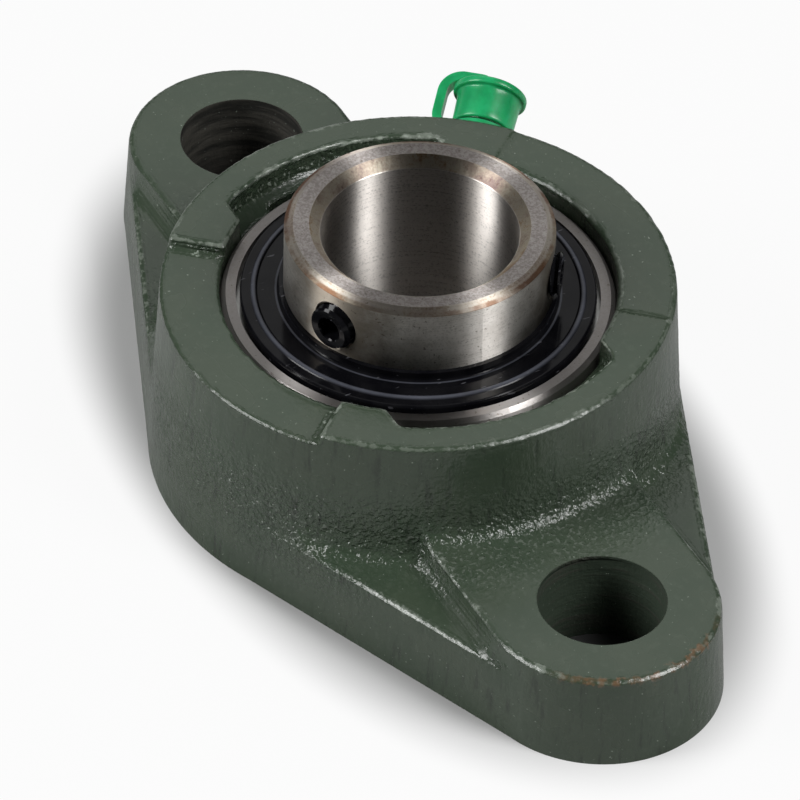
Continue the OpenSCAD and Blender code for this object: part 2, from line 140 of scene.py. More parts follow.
class Finish:
    # one material: node() adds any node, maths() the ones behind an expression
    def __init__(self, name, look=None):
        self.look = look
        self.material = bpy.data.materials.new(name)
        self.material.use_nodes = True
        self.tree = self.material.node_tree
        self.tree.nodes.clear()
        self.output = self.tree.nodes.new("ShaderNodeOutputMaterial")
        self.coords = self.node("TexCoord", out="Object")

    def feed(self, socket, value):
        if isinstance(value, Value):
            self.tree.links.new(value.socket, socket)
        else:
            socket.default_value = value

    def node(self, kind, settings=None, out=0, **sockets):
        # a socket goes by its name, or by its place as in i0
        made = self.tree.nodes.new("ShaderNode" + kind)
        for key, setting in (settings or {}).items():
            if key == "stops":
                setStops(made.color_ramp, setting)
            else:
                setattr(made, key, setting)
        for key, value in sockets.items():
            name = int(key[1:]) if key[1:].isdigit() else key.replace("_", " ")
            self.feed(made.inputs[name], value)
        return Value(self, made.outputs[out])

    def maths(self, operation, *values):
        sockets = {"i%d" % place: value for place, value in enumerate(values)}
        return self.node("Math", {"operation": operation}, **sockets)

    def mix(self, factor, first, second):
        # each colour is a socket or three numbers
        first, second = ((*c, 1) if isinstance(c, tuple) else c for c in (first, second))
        return self.node("Mix", {"data_type": "RGBA"}, out=2, i0=factor, i6=first, i7=second)

    def noise(self, scale, detail=4, rough=0.55, stretch=None):
        # scale is in bumps per millimetre
        vector = self.node("Mapping", Vector=self.coords, Scale=stretch) if stretch else self.coords
        return self.node("TexNoise", Vector=vector, Scale=scale / mm, Detail=detail, Roughness=rough)

    def between(self, value, low, high):
        # 0 at low and 1 at high, whichever of them is the greater, and smooth between
        return self.node("MapRange", {"interpolation_type": "SMOOTHSTEP"}, i0=value, i1=low, i2=high)

    def split(self, vector):
        parts = self.node("SeparateXYZ", i0=vector).socket.node.outputs
        return [Value(self, part) for part in parts]

    def zone(self, value, name):
        # a pair in the look's dictionary tells where the zone starts and where it is full
        return self.between(value, *self.look[name])

    def place(self):
        # X, Y and Z in millimetres, and the distance from the shaft's axis
        x, y, z = (part * (1 / mm) for part in self.split(self.coords))
        return x, y, z, distance(x, y)

    def flatness(self):
        # 1 on a level face, 0 on a wall
        return abs(self.split(self.node("TexCoord", out="Normal"))[2])

    def bump(self, height, depth):
        # depth is in millimetres
        return self.node("Bump", Height=height, Distance=depth * mm, Strength=1.0)

    def show(self, surface):
        self.feed(self.output.inputs[0], surface)
        return self.material

    def shader(self, **sockets):
        return self.show(self.node("BsdfPrincipled", **sockets))


# Enamel on cast iron. Colours are linear. A zone is a pair of lengths in millimetres: where it starts and
# where it is full. R is a radius from the shaft's axis, X and Z are places.

enamelLook = {
    "thin": (0.036, 0.054, 0.034), "thick": (0.043, 0.060, 0.039), "grain": (0.065, 0.085, 0.060),
    "drip": (0.020, 0.028, 0.019), "wall": (0.010, 0.016, 0.010),
    "ironDark": (0.013, 0.013, 0.011), "ironPale": (0.048, 0.045, 0.038), "paintRun": (0.034, 0.050, 0.033),
    "glint": (0.34, 0.39, 0.33), "fleck": (0.13, 0.15, 0.125), "speck": (0.26, 0.30, 0.25),
    "rubbedAndSheen": (0.28, 0.31, 0.27), "rust": (0.15, 0.085, 0.045),
    "glintShare": 0.6, "fleckShare": 0.45, "speckShare": 0.6, "rubbedAndSheenShare": 0.42, "rustShare": 0.75,
    "holeR": (8.07, 8.02),
    "bossFootHeight": 11.5, "bossFootR": (9.5, 1.0), "bossFootZ": (10.5, 1.5),  # distances from that ring
    "recessOuterR": (30, 28.6), "recessInnerR": (25.4, 26.5), "recessZ": (27.6, 26.9),
    "recessRimR": (29.2, 28.8),
    "padR": (47, 38), "padZ": (0.6, 0.3),  # padZ is a distance from the pad's height
    "flangeR": (30, 36), "flangeLowZ": (6.5, 8), "flangeHighZ": (23, 19),
    "stepZ": (26.2, 26.8), "stepR": (34.5, 30.5),
    "rearX": (-42, -48), "rustX": (57, 62), "rustZ": (9.5, 12), "paintRunX": (10, 25),
    "roughness": 0.27, "bumpDepth": 0.09,
}


def enamelFinish(look):
    f = Finish("housingEnamel", look)
    x, y, z, r = f.place()
    upright = f.between(f.flatness(), 0.75, 0.3)  # 1 on walls, 0 on level faces
    crease = f.node("Attribute", {"attribute_name": "crease"}, out=2)
    hollow = f.between(crease, -0.06, -0.30)  # inside corners
    ridge = f.between(crease, 0.10, 0.40)  # outside corners
    broad = f.noise(0.11, 3)
    fine = f.noise(0.9, 5, 0.6)
    peel = f.noise(1.7, 2, 0.5)
    drips = f.noise(0.9, 4, 0.6, stretch=(1, 1, 0.16))
    lumps = f.noise(0.7, 2, 0.5)
    # the skin is roughest round the foot of the boss, at the root of each pad and along the recesses
    root = f.zone(abs(r - bossFoot), "bossFootR") * f.zone(abs(z - look["bossFootHeight"]), "bossFootZ")
    recess = f.zone(r, "recessOuterR") * f.zone(r, "recessInnerR") * f.zone(z, "recessZ")
    padRoot = f.zone(r, "padR") * f.zone(abs(z - padHeight), "padZ")
    rugged = (root + padRoot * 0.8 + recess * (0.15 + upright * 0.85) + hollow * 0.4).upToOne()
    colour = f.mix(f.between(broad, 0.35, 0.65), look["thin"], look["thick"])
    colour = f.mix(f.between(fine, 0.50, 0.78) * 0.4, colour, look["grain"])
    colour = f.mix(f.between(drips, 0.46, 0.30) * upright * 0.7, colour, look["drip"])
    # painted shade: walls are a little darker than level faces
    colour = f.mix(upright * 0.05, colour, look["wall"])
    # the bolt holes are turned and bare, but paint ran into the front one
    inHole = f.zone(distance(abs(x) - boltAway, y), "holeR")
    turned = f.noise(1.1, 3, 0.6, stretch=(0.10, 0.10, 1))
    bareIron = f.mix(f.between(turned, 0.35, 0.65), look["ironDark"], look["ironPale"])
    paintRun = f.zone(x + (broad - 0.5) * 60, "paintRunX") * (0.9 - f.between(turned, 0.50, 0.66) * 0.5)
    colour = f.mix(inHole, colour, f.mix(paintRun, bareIron, look["paintRun"]))
    # painted highlights: light caught by the rim of each recess, and by ticks along the foot of its wall
    ticks = f.between(f.noise(1.9, 2, 0.6, stretch=(1, 1, 0.5)), 0.54, 0.66) * f.between(crease, -0.10, -0.32)
    rim = f.between(fine, 0.50, 0.62) * f.between(crease, 0.46, 0.66) * f.zone(r, "recessRimR")
    colour = f.mix(recess * (ticks + rim).upToOne() * look["glintShare"], colour, look["glint"])
    # painted glints: pale flecks round the foot of the boss and the root of each pad
    flecks = f.between(peel, 0.54, 0.66) * (padRoot + root * 0.3)
    colour = f.mix(flecks * look["fleckShare"], colour, look["fleck"])
    # painted sparkle: pale specks scattered over the enamel
    specks = f.between(f.noise(2.3, 1), 0.745, 0.78)
    colour = f.mix(specks * look["speckShare"], colour, look["speck"])
    # rubbed corners with painted highlights along them: pale along the flange and the steps, less at the rear
    flangeEdge = f.zone(r, "flangeR") * f.zone(z, "flangeLowZ") * f.zone(z, "flangeHighZ")
    stepEdge = f.zone(z, "stepZ") * f.zone(r, "stepR")
    onEdges = (flangeEdge + stepEdge).upToOne() * (1 - f.zone(x, "rearX") * 0.75)
    rubbedAndSheen = f.between(crease + (fine - 0.5) * 1.4 + (broad - 0.5) * 1.2, 0.42, 0.64) * onEdges
    colour = f.mix(rubbedAndSheen * look["rubbedAndSheenShare"], colour, look["rubbedAndSheen"])
    # some rust at the end of the front pad
    rust = f.zone(x, "rustX") * f.zone(z, "rustZ") * f.between(crease + (fine - 0.5) * 1.2, 0.20, 0.42)
    colour = f.mix(rust * f.between(lumps, 0.38, 0.62) * look["rustShare"], colour, look["rust"])
    rough = look["roughness"] + (broad - 0.5) * 0.10 - rugged * 0.10 + inHole * 0.3 - rubbedAndSheen * 0.06
    skin = fine * (0.26 + ridge * 0.9) + drips * upright * 0.9 + lumps * ridge * 1.2
    skin = skin + peel * (rugged * (2.8 + upright * 2.2) + upright * 0.5 + 0.12) + lumps * rugged * 1.6
    skin = skin + turned * inHole * 1.5
    return f.shader(Base_Color=colour, Roughness=rough, Specular_IOR_Level=0.5,
                    Normal=f.bump(skin, look["bumpDepth"]))


# Ground steel of both rings

ringLook = {
    "dark": (0.53, 0.50, 0.465), "pale": (0.68, 0.65, 0.615), "filmAndShade": (0.215, 0.180, 0.135),
    "faceDark": (0.285, 0.255, 0.24), "facePale": (0.44, 0.41, 0.39), "outerRing": (0.27, 0.255, 0.245),
    "bore": (0.94, 0.885, 0.83), "boreMirrored": (0.02, 0.02, 0.02),
    "groove": (0.22, 0.20, 0.18), "dot": (0.10, 0.075, 0.055), "rust": (0.17, 0.075, 0.036),
    "tints": [(0.30, (0.15, 0.065, 0.04)), (0.42, (0.33, 0.22, 0.12)), (0.50, (0.47, 0.42, 0.33)),
              (0.60, (0.30, 0.235, 0.18)), (0.70, (0.14, 0.08, 0.07))],
    "filmAndShadeShare": 0.80, "grooveShare": 0.45, "dotShare": 0.6, "rustShare": 0.8,
    "outerTintShare": 0.5, "innerTintShare": 0.85, "mirrorShare": 0.85,
    "boreR": (12.75, 12.6), "outerBreakZ": (35.0, 35.12), "outerBreakR": (15.82, 15.92),
    "innerBreakZ": (34.3, 34.5), "innerBreakR": (13.92, 13.82), "innerBreakInnerR": (12.5, 12.6),
    "faceZ": (35.6, 35.75), "outerRingZ": (25.2, 24.9), "outerRingR": (22, 22.4),
    "collarR": (16.4, 16.7), "collarRadius": 17, "filmAndShadeReach": (10.5, 3),  # the film's reach, with its painted shade, is from a screw's axis
    "rustR": (16.42, 16.62),
    "roughness": 0.37, "bumpDepth": 0.006,
}


def ringFinish(look):
    f = Finish("ringSteel", look)
    x, y, z, r = f.place()
    inBore = f.zone(r, "boreR")
    outerBreak = f.zone(z, "outerBreakZ") * f.zone(r, "outerBreakR")
    innerBreak = f.zone(z, "innerBreakZ") * f.zone(r, "innerBreakR") * f.zone(r, "innerBreakInnerR")
    breaks = outerBreak + innerBreak
    face = f.zone(z, "faceZ") * (1.0 - breaks)
    outerRing = f.zone(z, "outerRingZ") * f.zone(r, "outerRingR")
    grooves = f.noise(0.02, 3, 0.7, stretch=(1, 1, 400))
    faceGrain = f.noise(2.2, 4, 0.65)
    speckle = f.noise(3.2, 3, 0.6)
    streaks = f.noise(0.10, 4, 0.6)
    patches = f.noise(0.30, 5, 0.65)
    steel = f.mix(f.between(patches, 0.3, 0.7), look["dark"], look["pale"])
    # a darker brown film on the collar round each set screw: a stain that also paints shade over the bright
    # band there
    filmAndShade = 0.0
    for turn in screwTurns.values():
        angle, radius = math.radians(turn), look["collarRadius"]
        fromScrew = distance(x - radius * math.cos(angle), y - radius * math.sin(angle))
        filmAndShade = filmAndShade + f.zone(fromScrew + (patches - 0.5) * 9, "filmAndShadeReach")
    steel = f.mix(filmAndShade * f.zone(r, "collarR") * look["filmAndShadeShare"], steel, look["filmAndShade"])
    faceSteel = f.mix(f.between(speckle, 0.34, 0.66), look["faceDark"], look["facePale"])
    steel = f.mix(face, steel, faceSteel)
    steel = f.mix(outerRing, steel, look["outerRing"])
    steel = f.mix(inBore * 0.8, steel, look["bore"])
    cuts = f.between(grooves * 0.5 + speckle * 0.5, 0.50, 0.38) * (1 - face)
    steel = f.mix(cuts * look["grooveShare"], steel, look["groove"])
    dots = f.between(f.noise(1.6, 2, 0.5), 0.66, 0.72) * (1.0 - inBore * 0.5)
    steel = f.mix(dots * look["dotShare"], steel, look["dot"])
    # both broken edges are heat tinted, the outer one with a thin line of rust
    tint = f.node("ValToRGB", {"stops": look["tints"]}, i0=streaks + (speckle - 0.5) * 0.30)
    steel = f.mix(outerBreak * look["outerTintShare"] + innerBreak * look["innerTintShare"], steel, tint)
    rust = f.zone(r + (speckle - 0.5) * 0.5, "rustR") * f.between(f.noise(0.16, 3, 0.6), 0.40, 0.56)
    steel = f.mix(outerBreak * rust * look["rustShare"], steel, look["rust"])
    # painted shade: seen in its own reflection the bore is darker, which holds back the light bounced round
    # inside it
    mirrored = f.node("LightPath", out="Is Glossy Ray") * inBore * look["mirrorShare"]
    steel = f.mix(mirrored, steel, look["boreMirrored"])
    rough = look["roughness"] + (faceGrain - 0.5) * 0.10 + breaks * 0.13
    relief = grooves * 0.4 + faceGrain * (0.2 + face * 2.8 + outerRing + breaks * 3.0)
    return f.shader(Base_Color=steel, Metallic=1.0, Roughness=rough, Normal=f.bump(relief, look["bumpDepth"]),
                    Anisotropic=1.0, Anisotropic_Rotation=0.25)


def plainSteel(name, colour, roughness, depth=0.004):
    f = Finish(name)
    grain = f.noise(2.0, 4, 0.6)
    patches = f.noise(0.25, 3)
    darker = tuple(0.82 * c for c in colour)
    return f.shader(Base_Color=f.mix(f.between(patches, 0.35, 0.65), colour, darker), Metallic=1.0,
                    Roughness=roughness + (grain - 0.5) * 0.15, Normal=f.bump(grain, depth))


# Black oxide of the flingers and the set screws

blackLook = {
    "dark": (0.003, 0.003, 0.004), "pale": (0.006, 0.006, 0.007),
    "scuff": (0.09, 0.09, 0.10), "rubbedAndSheen": (0.085, 0.09, 0.11), "scuffShare": 0.6,
    "beadRadius": 20.78, "beadWidth": (0.42, 0.08), "hubRadius": 17.95, "hubWidth": (0.18, 0.05),
    "discReach": (12, 11.5),  # from the bearing's centre, up or down
    "roughness": 0.11, "bumpDepth": 0.002,
}


def blackSteelFinish(look):
    f = Finish("blackSteel", look)
    z, r = f.place()[2:]
    grain = f.noise(1.6, 4, 0.6)
    patches = f.noise(0.2, 4)
    scuffs = f.between(f.noise(1.6, 2, 0.4, stretch=(1, 0.25, 1)), 0.70, 0.74)
    colour = f.mix(f.between(patches, 0.4, 0.65), look["dark"], look["pale"])
    colour = f.mix(scuffs * look["scuffShare"], colour, look["scuff"])
    # the flinger's bead and the foot of its hub are rubbed to a blue grey, which also paints the highlight
    # along them
    bead = f.zone(abs(r - look["beadRadius"]), "beadWidth") * f.between(f.flatness(), 0.3, 0.6)
    hubFoot = f.zone(abs(r - look["hubRadius"]), "hubWidth") * f.between(f.flatness(), 0.15, 0.4)
    rubbedAndSheen = (bead * (0.2 + patches * 0.9) + hubFoot * patches * 0.9).upToOne()
    rubbedAndSheen = rubbedAndSheen * f.zone(abs(z - seatHeight), "discReach")
    colour = f.mix(rubbedAndSheen, colour, look["rubbedAndSheen"])
    rough = look["roughness"] + (grain - 0.5) * 0.08 + scuffs * 0.15 + rubbedAndSheen * 0.15
    return f.shader(Base_Color=colour, Roughness=rough, Specular_IOR_Level=0.13,
                    Normal=f.bump(grain, look["bumpDepth"]))


def rubberFinish():
    f = Finish("sealRubber")
    grain = f.noise(3, 3)
    colour = f.mix(grain, (0.012, 0.012, 0.012), (0.025, 0.025, 0.025))
    return f.shader(Base_Color=colour, Roughness=0.6, Normal=f.bump(grain, 0.01))


def plasticFinish():
    f = Finish("greenPlastic")
    broad = f.noise(0.35, 3)
    fine = f.noise(2.5, 3)
    colour = f.mix(f.between(broad, 0.3, 0.7), (0.008, 0.26, 0.085), (0.016, 0.37, 0.135))
    rough = 0.30 + (fine - 0.5) * 0.1
    return f.shader(Base_Color=colour, Roughness=rough, Normal=f.bump(fine, 0.01),
                    Subsurface_Weight=0.35, Subsurface_Scale=2 * mm, Subsurface_Radius=(0.3, 1.0, 0.5))


print("finishes")
finishes = {
    "housing_enamel": enamelFinish(enamelLook),
    "ring_steel": ringFinish(ringLook),
    "ball_steel": plainSteel("ballSteel", (0.72, 0.73, 0.75), 0.10, 0.001),
    "cage_steel": plainSteel("cageSteel", (0.50, 0.50, 0.48), 0.35),
    "black_steel": blackSteelFinish(blackLook),
    "seal_rubber": rubberFinish(),
    "plated_steel": plainSteel("platedSteel", (0.66, 0.67, 0.64), 0.22),
    "green_plastic": plasticFinish(),
}
for row in frame["record"]["subparts"]:
    node = frame["nodes"][row["node"]]
    node.data.materials.clear()
    node.data.materials.append(finishes[row["material_slot"]])


# Modelling helpers

mergeWithin = 0.002 * mm  # vertices closer than this are one
needleWidth = 0.01 * mm  # faces narrower than this go


def startFresh():
    if bpy.context.object and bpy.context.object.mode != "OBJECT":
        bpy.ops.object.mode_set(mode="OBJECT")
    bpy.ops.object.select_all(action="DESELECT")


def choose(piece):
    startFresh()
    piece.select_set(True)
    bpy.context.view_layer.objects.active = piece


def applyModifiers(piece):
    choose(piece)
    for modifier in list(piece.modifiers):
        bpy.ops.object.modifier_apply(modifier=modifier.name)


def combine(piece, tool, operation):
    cut = piece.modifiers.new(operation.lower(), "BOOLEAN")
    cut.operation = operation
    cut.solver = "EXACT"
    cut.object = tool
    applyModifiers(piece)
    bpy.data.objects.remove(tool)


def editAll(piece):
    # into edit mode with all of the piece selected
    choose(piece)
    bpy.ops.object.mode_set(mode="EDIT")
    bpy.ops.mesh.select_all(action="SELECT")


def editNone(piece, kind):
    # readies the piece for a selection made in object mode
    choose(piece)
    bpy.ops.object.mode_set(mode="EDIT")
    bpy.ops.mesh.select_mode(type=kind)
    bpy.ops.mesh.select_all(action="DESELECT")
    bpy.ops.object.mode_set(mode="OBJECT")


def packedCopy(node, name, joinFlat=False):
    # joinFlat makes one face of the triangles that lie in one plane
    piece = bpy.data.objects.new(name, frame["nodes"][node].data.copy())
    bpy.context.scene.collection.objects.link(piece)
    editAll(piece)
    bpy.ops.mesh.remove_doubles(threshold=mergeWithin)
    if joinFlat:
        bpy.ops.mesh.dissolve_limited(angle_limit=math.radians(0.4))
    bpy.ops.object.mode_set(mode="OBJECT")
    return piece


def cutOff(height, outward):
    # in edit mode: drops all beyond a level plane and fills the cut
    bpy.ops.mesh.select_all(action="SELECT")
    bpy.ops.mesh.bisect(plane_co=(0, 0, height), plane_no=(0, 0, outward), threshold=1e-6,
                        use_fill=True, clear_outer=True)


def clearSlivers(piece):
    # a cut or a bevel can leave needles of no width: they go, and what stays is in triangles
    editAll(piece)
    bpy.ops.mesh.remove_doubles(threshold=mergeWithin)
    bpy.ops.mesh.dissolve_degenerate(threshold=needleWidth)
    bpy.ops.mesh.quads_convert_to_tris(quad_method="BEAUTY", ngon_method="BEAUTY")
    bpy.ops.mesh.dissolve_degenerate(threshold=needleWidth)
    bpy.ops.object.mode_set(mode="OBJECT")


def dropCrumbs(piece):
    # a remesh can leave crumbs loose from the body
    outermost = max(piece.data.vertices, key=lambda vertex: vertex.co.x).index
    editNone(piece, "VERT")
    piece.data.vertices[outermost].select = True
    bpy.ops.object.mode_set(mode="EDIT")
    bpy.ops.mesh.select_linked()
    bpy.ops.mesh.select_all(action="INVERT")
    bpy.ops.mesh.delete(type="VERT")
    bpy.ops.object.mode_set(mode="OBJECT")


def dress(piece, slot):
    piece.data.materials.clear()
    piece.data.materials.append(finishes[slot])


# Cast housing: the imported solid's shape, with cast edges and skin. Lengths are in millimetres.

castHousing = {
    "voxel": 0.47, "quickVoxel": 0.8,
    "smoothing": 5, "creaseDepth": 0.12,  # the crease value is 1 where smoothing moves the skin this far
    "lumpSize": 2.4, "lumpHeight": 0.05,
    "grainSize": 0.7, "grainHeight": 0.16, "grainLeast": 0.15,
    "skinLow": (0.2, 1.2), "skinInner": (26.6, 27.2),  # the skin begins above the foot and outside the mouth
    "rootHeight": 12, "rootWide": (1, 8), "rootHigh": (1, 9),  # coarse grain round the foot of the boss
    "foot": -1.3, "boltRadius": 8.0, "plugWider": 0.6, "drillHigher": 3,
}


def readVertices(mesh, what):
    flat = np.empty(len(mesh.vertices) * 3, np.float32)
    mesh.vertices.foreach_get(what, flat)
    return flat.reshape(-1, 3)


def smoothStep(values, low, high):
    t = np.clip((values - low) / (high - low), 0, 1)
    return t * t * (3 - 2 * t)


def addDisplace(piece, name, size, height, group):
    texture = bpy.data.textures.new(name, "CLOUDS")
    texture.noise_scale = size * mm
    texture.noise_depth = 1
    displace = piece.modifiers.new(name, "DISPLACE")
    displace.texture = texture
    displace.texture_coords = "LOCAL"
    displace.strength = height * mm
    displace.mid_level = 0.5
    displace.vertex_group = group


def addGroup(piece, name, weights):
    # weights are kept in steps of a tenth
    group = piece.vertex_groups.new(name=name)
    for level in range(1, 11):
        chosen = np.nonzero(np.round(weights * 10) == level)[0]
        if len(chosen):
            group.add(chosen.tolist(), level / 10, "REPLACE")


def boltCylinder(side, radius, low, high):
    startFresh()
    bpy.ops.mesh.primitive_cylinder_add(vertices=96, radius=radius * mm, depth=(high - low) * mm,
                                        location=(side * boltAway * mm, 0, (low + high) / 2 * mm))
    bpy.ops.object.transform_apply(location=True, rotation=True, scale=True)
    return bpy.context.object


def lowerFoot(piece, depth):
    editNone(piece, "FACE")
    for face in piece.data.polygons:
        face.select = face.normal.z < -0.99 and face.center.z < 0.01 * mm
    bpy.ops.object.mode_set(mode="EDIT")
    bpy.ops.mesh.extrude_region_move(TRANSFORM_OT_translate={"value": (0, 0, depth * mm)})
    bpy.ops.object.mode_set(mode="OBJECT")


def plugBoltHoles(piece, sizes):
    radius = sizes["boltRadius"] + sizes["plugWider"]
    plugs = [boltCylinder(side, radius, sizes["foot"], padHeight) for side in (-1, 1)]
    choose(piece)
    for plug in plugs:
        plug.select_set(True)
    bpy.ops.object.join()


def roundEdges(piece, sizes):
    # the remeshed skin is smoothed, and how far that moves it is kept for the finish as crease
    sharp = readVertices(piece.data, "co")
    smooth = piece.modifiers.new("edges", "SMOOTH")
    smooth.iterations = sizes["smoothing"]
    applyModifiers(piece)
    moved = sharp - readVertices(piece.data, "co")
    crease = (moved * readVertices(piece.data, "normal")).sum(1) / (sizes["creaseDepth"] * mm)
    attribute = piece.data.attributes.new("crease", "FLOAT", "POINT")
    attribute.data.foreach_set("value", np.clip(crease, -1, 1).astype(np.float32))


def roughenSkin(piece, sizes):
    places = readVertices(piece.data, "co")
    away = np.hypot(places[:, 0], places[:, 1]) / mm
    height = places[:, 2] / mm
    outside = smoothStep(height, *sizes["skinLow"]) * smoothStep(away, *sizes["skinInner"])
    besideRoot = 1 - smoothStep(np.abs(away - bossFoot), *sizes["rootWide"])
    root = besideRoot * (1 - smoothStep(np.abs(height - sizes["rootHeight"]), *sizes["rootHigh"]))
    addGroup(piece, "skin", outside)
    addGroup(piece, "root", outside * (sizes["grainLeast"] + (1 - sizes["grainLeast"]) * root))
    addDisplace(piece, "lumps", sizes["lumpSize"], sizes["lumpHeight"], "skin")
    addDisplace(piece, "grain", sizes["grainSize"], sizes["grainHeight"], "root")
    applyModifiers(piece)


def buildHousing(sizes):
    piece = packedCopy("housing", "castHousing")
    # a remesh rounds every edge, so before it the foot is carried down and the bolt holes are plugged, and
    # both are cut to size after it
    lowerFoot(piece, sizes["foot"])
    plugBoltHoles(piece, sizes)
    remesh = piece.modifiers.new("cast", "REMESH")
    remesh.mode = "VOXEL"
    remesh.voxel_size = sizes["voxel"] * mm
    applyModifiers(piece)
    dropCrumbs(piece)
    roundEdges(piece, sizes)
    roughenSkin(piece, sizes)
    for side in (-1, 1):
        drill = boltCylinder(side, sizes["boltRadius"], 3 * sizes["foot"], padHeight + sizes["drillHigher"])
        combine(piece, drill, "DIFFERENCE")
    editAll(piece)
    cutOff(0, -1)
    bpy.ops.object.mode_set(mode="OBJECT")
    clearSlivers(piece)
    bpy.ops.object.shade_smooth_by_angle(angle=math.radians(60))
    print("housing faces", len(piece.data.polygons))
    dress(piece, "housing_enamel")
    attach(piece, "housing")
    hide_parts("housing")


print("housing")
buildHousing(castHousing)


# Set screws: a threaded body between broken ends, with a hexagon socket. Lengths are in millimetres.

setScrew = {
    "pitch": 1.0, "rootRadius": 2.45, "crestRadius": 3.0, "stepsAround": 40,
    "tip": 12.7, "end": 18.0,  # distances from the shaft's axis
    "threadBelow": 2, "turnsOver": 5,  # the thread starts below the tip and runs on past the end
    "cutBeyond": 0.5,  # how far outside tip and end the thread is cut off
    "edgeBreak": 0.25, "socket": 3.0, "socketDepth": 2.4,
    "flareWide": 1.12, "flareNarrow": 0.8,  # chamfer of the socket's mouth, as shares of the hexagon
    "flareDepth": 0.5, "flareInset": 0.05,
    "cupRadius": 1.7, "cupDepth": 1.3, "cupInset": 0.64,  # hollow in the tip
    "height": 30.3,  # of its axis above the mounting face
}


def selectVertices(piece, wanted):
    # selects by a test on each vertex's place, in edit mode
    bpy.ops.mesh.select_all(action="DESELECT")
    bpy.ops.object.mode_set(mode="OBJECT")
    for vertex in piece.data.vertices:
        vertex.select = wanted(vertex.co)
    bpy.ops.object.mode_set(mode="EDIT")


def zigzagLine(sizes):
    # from root to crest and back at every half pitch, standing beside the axis
    pitch, low = sizes["pitch"] * mm, (sizes["tip"] - sizes["threadBelow"]) * mm
    turns = int(sizes["end"] - sizes["tip"] + sizes["turnsOver"])
    startFresh()
    bpy.ops.mesh.primitive_plane_add(size=turns * pitch, rotation=(math.pi / 2, 0, 0))
    line = bpy.context.object
    bpy.ops.object.transform_apply(location=True, rotation=True, scale=True)
    bpy.ops.object.mode_set(mode="EDIT")
    bpy.ops.mesh.select_mode(type="VERT")
    selectVertices(line, lambda co: co.x < 0)
    bpy.ops.mesh.delete(type="VERT")
    bpy.ops.mesh.select_all(action="SELECT")
    bpy.ops.mesh.subdivide(number_cuts=2 * turns - 1)
    middle = (sizes["rootRadius"] + sizes["crestRadius"]) / 2 * mm
    bpy.ops.transform.translate(value=(middle - turns * pitch / 2, 0, low + turns * pitch / 2))
    half = (sizes["crestRadius"] - sizes["rootRadius"]) / 2 * mm
    for side, shift in ((0, -half), (1, half)):
        # every second vertex, but none that has been moved already
        selectVertices(line, lambda co: (round((co.z - low) / (pitch / 2)) % 2 == side
                                         and abs(co.x - middle) < half / 2))
        bpy.ops.transform.translate(value=(shift, 0, 0))
    bpy.ops.object.mode_set(mode="OBJECT")
    return line


def threadedRod(sizes):
    # the zigzag line, swept once round and up by one pitch
    rod = zigzagLine(sizes)
    sweep = rod.modifiers.new("sweep", "SCREW")
    sweep.axis = "Z"
    sweep.angle = 2 * math.pi
    sweep.screw_offset = sizes["pitch"] * mm
    sweep.steps = sweep.render_steps = sizes["stepsAround"]
    applyModifiers(rod)
    editAll(rod)
    bpy.ops.mesh.remove_doubles(threshold=0.005 * mm)
    for end, outward in (("tip", -1), ("end", 1)):
        cutOff(sizes[end] * mm + outward * sizes["cutBeyond"] * mm, outward)
    bpy.ops.mesh.select_all(action="SELECT")
    bpy.ops.mesh.normals_make_consistent(inside=False)
    bpy.ops.object.mode_set(mode="OBJECT")
    return rod


def brokenBlank(sizes):
    # a plain cylinder from tip to end with its edges broken
    length = (sizes["end"] - sizes["tip"]) * mm
    centre = (sizes["end"] + sizes["tip"]) / 2 * mm
    startFresh()
    bpy.ops.mesh.primitive_cylinder_add(vertices=64, radius=sizes["crestRadius"] * mm, depth=length,
                                        location=(0, 0, centre))
    blank = bpy.context.object
    bpy.ops.object.transform_apply(location=True, rotation=True, scale=True)
    breaks = blank.modifiers.new("breaks", "BEVEL")
    breaks.width = sizes["edgeBreak"] * mm
    breaks.segments = 1
    breaks.limit_method = "ANGLE"
    breaks.angle_limit = math.radians(60)
    applyModifiers(blank)
    return blank


def cutSocket(rod, sizes):
    corner = sizes["socket"] / 2 / math.cos(math.pi / 6) * mm
    end = sizes["end"] * mm
    startFresh()
    bpy.ops.mesh.primitive_cylinder_add(vertices=6, radius=corner, depth=2 * (sizes["socketDepth"] * mm),
                                        location=(0, 0, end))
    combine(rod, bpy.context.object, "DIFFERENCE")
    startFresh()
    bpy.ops.mesh.primitive_cone_add(
        vertices=32, radius1=corner * sizes["flareWide"], radius2=corner * sizes["flareNarrow"],
        depth=sizes["flareDepth"] * mm, rotation=(math.pi, 0, 0),
        location=(0, 0, end - sizes["flareInset"] * mm))
    combine(rod, bpy.context.object, "DIFFERENCE")


def cutCup(rod, sizes):
    startFresh()
    bpy.ops.mesh.primitive_cone_add(
        vertices=32, radius1=sizes["cupRadius"] * mm, radius2=0, depth=sizes["cupDepth"] * mm,
        location=(0, 0, sizes["tip"] * mm + sizes["cupInset"] * mm))
    combine(rod, bpy.context.object, "DIFFERENCE")


def buildSetScrews(sizes):
    rod = threadedRod(sizes)
    combine(rod, brokenBlank(sizes), "INTERSECT")
    cutSocket(rod, sizes)
    cutCup(rod, sizes)
    clearSlivers(rod)
    bpy.ops.object.shade_smooth_by_angle(angle=math.radians(28))
    for name, turn in screwTurns.items():
        screw = rod.copy()
        screw.data = rod.data.copy()
        screw.name = name + "Threaded"
        bpy.context.scene.collection.objects.link(screw)
        stand = Matrix.Rotation(math.radians(turn), 4, "Z") @ Matrix.Rotation(math.pi / 2, 4, "Y")
        screw.data.transform(Matrix.Translation((0, 0, sizes["height"] * mm)) @ stand)
        dress(screw, "black_steel")
        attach(screw, name)
        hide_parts(name)
    bpy.data.objects.remove(rod)


print("set screws")
buildSetScrews(setScrew)


# Nipple cap, its strap, the grease nipple and the valve spring: the imported shapes, all but the spring with
# moulded edges

